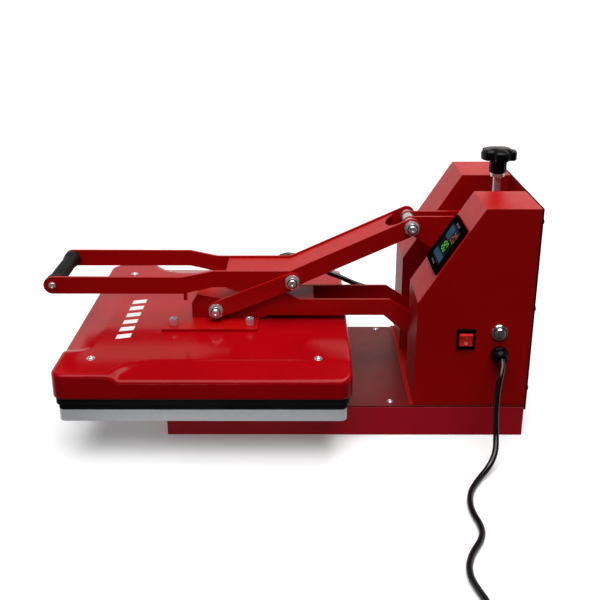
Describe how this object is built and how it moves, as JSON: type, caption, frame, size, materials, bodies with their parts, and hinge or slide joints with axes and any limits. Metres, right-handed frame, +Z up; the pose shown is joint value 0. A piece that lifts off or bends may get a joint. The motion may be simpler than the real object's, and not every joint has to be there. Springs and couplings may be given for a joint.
{
  "type": "heat press",
  "caption": "Clamshell heat press: red steel base and tower, square lower platen, hinged heating head, toggle lever with grip, pressure knob, controller and mains cord.",
  "frame": {"origin": "middle of the footprint of the machine without its cord, on the surface that it stands on", "axes": "+X from the operator's grip towards the tower, +Y to the operator's left, +Z up"},
  "size_m": [0.6828, 0.8167, 0.3865],
  "materials": {
    "red_gloss": "glossy powder coat, slight orange peel",
    "red_skirt": "satin powder coat",
    "aluminium_plate": "milled edge, satin",
    "silicone_black": "matt silicone sheet",
    "heater_coating": "black non-stick coating",
    "bright_steel": "zinc plated, bright",
    "plain_steel": "drawn steel",
    "bronze": "sintered bronze",
    "grip_rubber": "matt moulded rubber",
    "black_plastic": "glossy moulded plastic",
    "black_matte_plastic": "fine texture",
    "switch_red": "translucent red, glossy",
    "display_glass": "glossy display window",
    "circuit_board": "solder mask",
    "insulation": "glass fibre felt",
    "cord_rubber": "satin sheath"
  },
  "bodies": {
    "machine": {"base_rail_right": "red_skirt", "base_rail_left": "red_skirt", "base_front_wall": "red_skirt", "base_rear_wall": "red_skirt", "deck_plate": "red_gloss", "platen_pedestal": "red_gloss", "tower_foot_plate": "red_gloss", "housing_right": "red_gloss", "housing_left": "red_gloss", "frame_plate_right": "red_gloss", "frame_plate_left": "red_gloss", "tower_bridge": "red_gloss", "back_panel": "red_gloss", "lower_platen": "aluminium_plate", "silicone_pad": "silicone_black", "hinge_shaft": "plain_steel", "bracket_pin": "plain_steel", "reset_ring": "bright_steel", "display_bezel": "black_plastic", "cord_gland": "black_plastic", "mains_plug": "black_plastic", "switch_frame": "black_matte_plastic", "display_screen": "display_glass", "control_board": "circuit_board", "power_cord": "cord_rubber", "cord_coil": "cord_rubber"},
    "arm": {"arm_plate_right": "red_gloss", "arm_plate_left": "red_gloss", "arm_web": "red_gloss", "arm_base_plate": "red_gloss", "arm_bolt_1": "bright_steel", "arm_bolt_2": "bright_steel", "arm_bolt_3": "bright_steel", "arm_bolt_4": "bright_steel", "hinge_bush_right": "bronze", "hinge_bush_left": "bronze", "cover": "red_gloss", "heating_platen": "heater_coating", "heating_element": "plain_steel", "insulation_blanket": "insulation", "heater_lead": "cord_rubber", "lower_bolt": "bright_steel", "lower_nut": "bright_steel"},
    "lever": {"lever_plate_right": "red_gloss", "lever_plate_left": "red_gloss", "lever_web": "red_gloss", "handle_grip": "grip_rubber", "grip_bar": "plain_steel", "upper_bolt": "bright_steel", "upper_nut": "bright_steel"},
    "lower_links": {"lower_link_right": "red_gloss", "lower_link_left": "red_gloss", "middle_stud_right": "bright_steel", "middle_stud_left": "bright_steel"},
    "pressure_bracket": {"pressure_bracket": "red_gloss", "trunnion_nut": "plain_steel"},
    "pressure_knob": {"pressure_screw": "bright_steel", "knob": "black_plastic"},
    "rocker": {"rocker_switch": "switch_red"},
    "reset_button": {"reset_button": "bright_steel"}
  },
  "joints": [
    {"name": "arm_hinge", "type": "hinge", "parent": "machine", "child": "arm", "pos_m": [0.23098, 0, 0.092], "axis": [0, 1, 0], "range_deg": [0, 44.1]},
    {"name": "bracket_tilt", "type": "hinge", "parent": "machine", "child": "pressure_bracket", "pos_m": [0.24097, 0, 0.258], "axis": [0, 1, 0], "range_deg": [-0.26, 1.16]},
    {"name": "handle_lift", "type": "hinge", "parent": "pressure_bracket", "child": "lever", "pos_m": [0.18197, 0, 0.277], "axis": [0, 1, 0], "range_deg": [0, 95]},
    {"name": "link_swing", "type": "hinge", "parent": "arm", "child": "lower_links", "pos_m": [-0.09903, 0, 0.1514], "axis": [0, 1, 0], "range_deg": [-69.4, 0]},
    {"name": "pressure_turn", "type": "hinge", "parent": "machine", "child": "pressure_knob", "pos_m": [0.30547, 0, 0.35], "axis": [0, 0, 1], "range_deg": [-60, 270]},
    {"name": "rocker_press", "type": "hinge", "parent": "machine", "child": "rocker", "pos_m": [0.24893, -0.123, 0.1479], "axis": [1, 0, 0], "range_deg": [-16, 0]},
    {"name": "reset_press", "type": "slide", "parent": "machine", "child": "reset_button", "axis": [0, 1, 0], "range_m": [0, 0.003], "stiffness_N_per_m": 800}
  ],
  "couplings": [
    {"joint": "arm_hinge", "follows": "handle_lift", "ratio": 0.46408},
    {"joint": "link_swing", "follows": "handle_lift", "ratio": -0.72947},
    {"joint": "bracket_tilt", "follows": "pressure_turn", "ratio": 0.004285}
  ]
}
